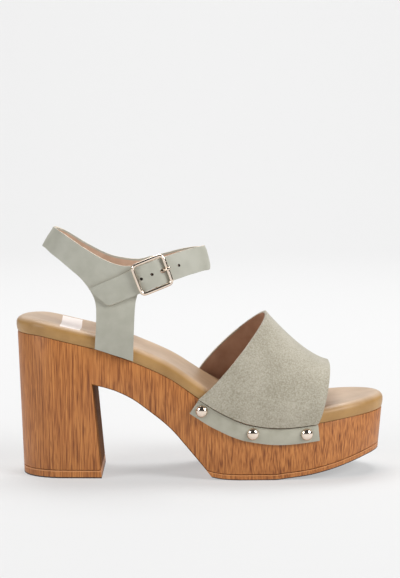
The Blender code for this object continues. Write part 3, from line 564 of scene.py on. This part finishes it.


# %% [markdown]
# ## Heel, platform and outsole
# The wooden looking unit keeps its crisp corners, eased by 0.6 mm. A bevel that
# clamps its overlap would shrink to nothing here, because one short edge limits
# all of them, so flat faces are dissolved first and the clamp is left out. The
# faces of the arch and the heel breast get painted shade, a darker and duller
# copy of the wood. The two bottom pieces carry an attribute that runs from 0 at
# the floor to 1 at their top, because their pale line, a painted highlight along
# the bead, follows the toe spring.

# %% Wooden pieces
WALL, PAINTED_SHADE = 0, 1
FLAT = math.radians(2)
CORNER_ROUND = 0.6 * MM
BREAST_LEAN = 8 * MM
TURNED_DOWN, TURNED_FORWARD = -0.25, 0.5
platform = cut_from("platform_and_heel")
bmesh.ops.dissolve_limit(platform, angle_limit=FLAT, verts=platform.verts, edges=platform.edges)
round_rims(platform, 40, CORNER_ROUND, clamp=False)
ARCH_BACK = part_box("heel_top_lift")[1].x - BREAST_LEAN
ARCH_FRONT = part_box("forefoot_outsole")[0].x
# Faces of the arch and the heel breast take the painted shade.
for face in platform.faces:
    x = face.calc_center_median().x
    in_arch = face.normal.z < TURNED_DOWN and ARCH_BACK < x < ARCH_FRONT
    on_breast = face.normal.x > TURNED_FORWARD and x < 0
    face.material_index = PAINTED_SHADE if in_arch or on_breast else WALL
wood_finishes = [wood_look, wood_painted_shade]
finish_piece(platform, "platform_wood_look", "platform_and_heel", wood_finishes)


def bottom_piece(node, name):
    """A top lift or outsole with its rise from the floor side to its top."""
    shape = cut_from(node)
    rise = shape.verts.layers.float.new("rise")
    for vert in shape.verts:
        facing = sum(f.normal.z for f in vert.link_faces)
        vert[rise] = 1.0 if facing > 0 else 0.0
    finish_piece(shape, name, node, [wood_edge])


bottom_piece("heel_top_lift", "heel_top_lift_wood_look")
bottom_piece("forefoot_outsole", "forefoot_outsole_wood_look")

# %% [markdown]
# ## Padded footbed
# The footbed is foam under a cover, so it is one crowned closed form. Creased
# edges keep its underside flat while a Subdivision Surface rounds the rest.
# Bevels could round its rim as well, but not its broad top.

# %% Footbed
CROWN_FROM, CROWN_SPAN = 0.55, 0.4


def crease(shape):
    """Marks sharp edges so that subdivision keeps them."""
    layer = shape.edges.layers.float.new("crease_edge")
    for edge in sharp_edges(shape, SHARP_DEGREES):
        edge[layer] = 1.0


def subdivide(piece):
    """A Subdivision Surface modifier with the same levels shown and rendered."""
    modifier = piece.modifiers.new("smoothing", "SUBSURF")
    modifier.levels = LEVELS
    modifier.render_levels = LEVELS


bed = cut_from("footbed")
crown_layer = bed.verts.layers.float.new("crown")
for vert in bed.verts:
    up = sum((f.normal * f.calc_area() for f in vert.link_faces), Vector()).normalized().z
    vert[crown_layer] = max(0.0, min(1.0, (up - CROWN_FROM) / CROWN_SPAN))
crease(bed)
footbed = finish_piece(bed, "footbed_padded", "footbed", [footbed_cover], 60)
subdivide(footbed)

# %% [markdown]
# ## Straps
# A lined strap has three finishes: the face leather, the lining and the pale
# edge between them, which is partly edge paint and partly painted highlight.
# Which face gets which follows from how it looks outwards: away from the foot's
# middle line on the toe strap, and away from the middle of the ankle on the
# loop. A sheet thickened by a Solidify modifier would give the same three, but
# the CAD wall has its thickness already.

# %% Helpers for straps
FACE, LINING, EDGE, HOLE = 0, 1, 2, 3
EDGE_BELOW = 0.5
LEAST_WALLS = 9
HOLE_REACH = 6 * MM
SMALL_HOLE = 1.6 * MM
BACK_SIZE = 0.35
SLOT_SQUEEZE = 0.35


def colour_sides(shape, outward):
    """Gives each face the material of the side of the strap that it is on."""
    for face in shape.faces:
        turned = face.normal.dot(outward(face.calc_center_median()))
        if abs(turned) <= EDGE_BELOW:
            face.material_index = EDGE
        else:
            face.material_index = FACE if turned > 0 else LINING


def foot_outward(middle_y, floor_z):
    """Directions away from a line along the foot."""
    return lambda p: Vector((0, p.y - middle_y, max(0.0, p.z - floor_z))).normalized()


def side_outward(side):
    """One direction to the side, for a flat band."""
    return lambda p: Vector((0, side, 0))


def mark_holes(shape):
    """Gives the walls of punched holes their own finish, a near-black painted
    shade. They are the groups of edge faces that fit within HOLE_REACH. Returns these groups."""
    holes = []
    left = {f for f in shape.faces if f.material_index == EDGE}
    while left:
        group = [left.pop()]
        for face in group:
            near = {g for e in face.edges for g in e.link_faces} & left
            left -= near
            group += near
        corners = [v.co for f in group for v in f.verts]
        size = max((a - corners[0]).length for a in corners)
        if len(group) >= LEAST_WALLS and size < HOLE_REACH:
            holes.append(group)
            for face in group:
                face.material_index = HOLE
    return holes


def narrow_holes(holes, across):
    """Draws each small hole's back rim together, as soft leather does behind a
    punch. The prong's hole is wider and becomes a slot."""
    for walls in holes:
        rims = {v for f in walls for v in f.verts}
        back = {v for v in rims if any(f.material_index == LINING for f in v.link_faces)}
        middle = sum((v.co for v in back), Vector()) / len(back)
        if max((v.co - middle).length for v in back) < SMALL_HOLE:
            for vert in back:
                vert.co = middle + (vert.co - middle) * BACK_SIZE
        else:
            for vert in rims:
                vert.co -= across * (vert.co - middle).dot(across) * SLOT_SQUEEZE


def made_fine(shape):
    """The shape after a creased Subdivision Surface, as a new bmesh."""
    crease(shape)
    coarse = bpy.data.meshes.new("coarse")
    shape.to_mesh(coarse)
    shape.free()
    holder = bpy.data.objects.new("coarse", coarse)
    scene.collection.objects.link(holder)
    subdivide(holder)
    seen = holder.evaluated_get(bpy.context.evaluated_depsgraph_get())
    fine = bmesh.new()
    fine.from_mesh(seen.to_mesh())
    bpy.data.objects.remove(holder)
    return fine


def measure_rim(shape):
    """Stores how far each vertex is from the strap's rim, as 1 from RIM_REACH on."""
    rim_edges = []
    for edge in shape.edges:
        sides = {f.material_index for f in edge.link_faces}
        if {EDGE} < sides <= {FACE, LINING, EDGE}:
            rim_edges.append(edge)
    tree = KDTree(len(rim_edges))
    for i, edge in enumerate(rim_edges):
        tree.insert((edge.verts[0].co + edge.verts[1].co) / 2, i)
    tree.balance()
    rim = shape.verts.layers.float.new("rim")
    for vert in shape.verts:
        vert[rim] = min(1.0, tree.find(vert.co)[2] / RIM_REACH)


def ankle_outward(low, high):
    """Directions away from the middle of the ankle loop."""
    middle, half = (low + high) / 2, (high - low) / 2

    def outward(place):
        offset = place - middle
        return Vector((offset.x / half.x**2, offset.y / half.y**2, 0)).normalized()

    return outward


# %% Toe strap and side bands
BAND_ROUND = 0.3 * MM
toe_low, toe_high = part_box("toe_strap")
toe = cut_from("toe_strap")
colour_sides(toe, foot_outward((toe_low.y + toe_high.y) / 2, toe_low.z))
toe = made_fine(toe)
measure_rim(toe)
toe_finishes = [vamp_suede, vamp_lining_shaded, rim_paint_and_highlight]
finish_piece(toe, "toe_strap_suede", "toe_strap", toe_finishes, 60)

for side_name, side in (("outer", -1), ("inner", 1)):
    node = f"side_band_{side_name}"
    band = cut_from(node)
    colour_sides(band, side_outward(side))
    round_rims(band, SHARP_DEGREES, BAND_ROUND)
    band_finishes = [band_leather, rim_paint_and_highlight, band_leather]
    finish_piece(band, f"{node}_suede", node, band_finishes)

# %% [markdown]
# ## The ankle strap
# A strap that has been worn isn't an even band. The leather swells where the
# buckle's frame grips it, its rims draw back where it turns round the front of
# the ankle, it spreads at its turn behind the ankle, the inner side hangs a
# little lower, and a punched hole closes towards the back. Each of these is a
# move of vertices by a formula, of 2 mm at most. A cloth simulation could find
# them too, but it would also move what the CAD model has measured.

# %% Ankle strap and buckle loop
BUCKLE_TILT = math.radians(20.5)
BUCKLE_REACH = 12 * MM
# These two factors swell the leather by 0.3 mm above and 0.7 mm below at most.
SWELL_ABOVE = 2.52 * MM
SWELL_BELOW = 1.26 * MM
CUPPING = 2.0 * MM
CUP_REACH = 9 * MM
SAG_PLACE = -74 * MM
SAG_REACH = 22 * MM
SAG = 1.3 * MM
SAG_BLEND = 16 * MM
BACK_SWELL = 0.9 * MM
BACK_REACH = 12 * MM
ALONG = Vector((math.cos(BUCKLE_TILT), 0, math.sin(BUCKLE_TILT)))
ACROSS = Vector((-math.sin(BUCKLE_TILT), 0, math.cos(BUCKLE_TILT)))


def fill_buckle(shape):
    """Lets the leather swell across, so that it fills the buckle's frame."""
    low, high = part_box("buckle_frame")
    middle = (low + high) / 2
    for vert in shape.verts:
        offset = vert.co - middle
        a, c = offset.dot(ALONG) / BUCKLE_REACH, offset.dot(ACROSS) / BUCKLE_REACH
        if abs(a) < 1 and abs(c) < 1 and vert.co.y < high.y + BUCKLE_REACH / 2:
            below = max(0.0, -c) * (1 - a * a)
            above = max(0.0, c) * a * a * (1 - a * a)
            vert.co += ACROSS * (1 - c**4) * (SWELL_ABOVE * above - SWELL_BELOW * below)


def cup_front(shape):
    """Draws the strap's rims back where it turns round the front of the ankle."""
    tip = max(v.co.dot(ALONG) for v in shape.verts)
    front = [v for v in shape.verts if v.co.dot(ALONG) > tip - CUP_REACH / 2]
    low, high = min(v.co.dot(ACROSS) for v in front), max(v.co.dot(ACROSS) for v in front)
    for vert in shape.verts:
        near = max(0.0, 1 - (tip - vert.co.dot(ALONG)) / CUP_REACH)
        rim = max(-1.0, min(1.0, 2 * (vert.co.dot(ACROSS) - low) / (high - low) - 1))
        vert.co -= ALONG * CUPPING * near * rim**4


def lower_inner(shape):
    """Lets the inner side hang a little lower behind the ankle."""
    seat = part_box("footbed")[1].z
    for vert in shape.verts:
        a = (vert.co.x - SAG_PLACE) / SAG_REACH
        if abs(a) < 1 and vert.co.y > 0 and vert.co.z > seat:
            share = min(1.0, vert.co.y / SAG_BLEND) * min(1.0, (vert.co.z - seat) / SAG_BLEND)
            vert.co.z -= SAG * (1 - a * a) * share


def widen_back(shape):
    """Widens the strap a little at its turn behind the ankle."""
    back = min(v.co.x for v in shape.verts)
    turn = [v.co.z for v in shape.verts if v.co.x < back + BACK_REACH / 3]
    low, high = min(turn), max(turn)
    for vert in shape.verts:
        near = max(0.0, 1 - (vert.co.x - back) / BACK_REACH)
        rim = max(-1.0, min(1.0, 2 * (vert.co.z - low) / (high - low) - 1))
        vert.co.z += BACK_SWELL * near * rim


ankle = cut_from("ankle_strap")
colour_sides(ankle, ankle_outward(*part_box("ankle_strap")))
fill_buckle(ankle)
narrow_holes(mark_holes(ankle), ACROSS)
ankle = made_fine(ankle)
cup_front(ankle)
lower_inner(ankle)
widen_back(ankle)
measure_rim(ankle)
ankle_finishes = [sage_leather, lining, rim_paint_and_highlight, hole_wall_shade]
finish_piece(ankle, "ankle_strap_leather", "ankle_strap", ankle_finishes, 60)
loop = cut_from("buckle_loop")
finish_piece(loop, "buckle_loop_leather", "buckle_loop", [sage_leather])

# %% [markdown]
# ## Studs and buckle
# The nails are domes, and the buckle is bent wire. Their CAD solids are coarse,
# so the copies are subdivided until their highlights run smoothly, and then they
# are moved out by the plating's thickness. Smooth shading alone would leave
# corners in the outline.

# %% Metal
PLATING = 0.12 * MM
METAL = ["buckle_frame", "buckle_prong"]
METAL += [f"stud_{side}_{i}" for side in ("outer", "inner") for i in (1, 2, 3)]
for node in METAL:
    metal = made_fine(cut_from(node))
    for vert in metal.verts:
        vert.co += vert.normal * PLATING
    finish_piece(metal, f"{node}_plated", node, [rose_gold], 50)
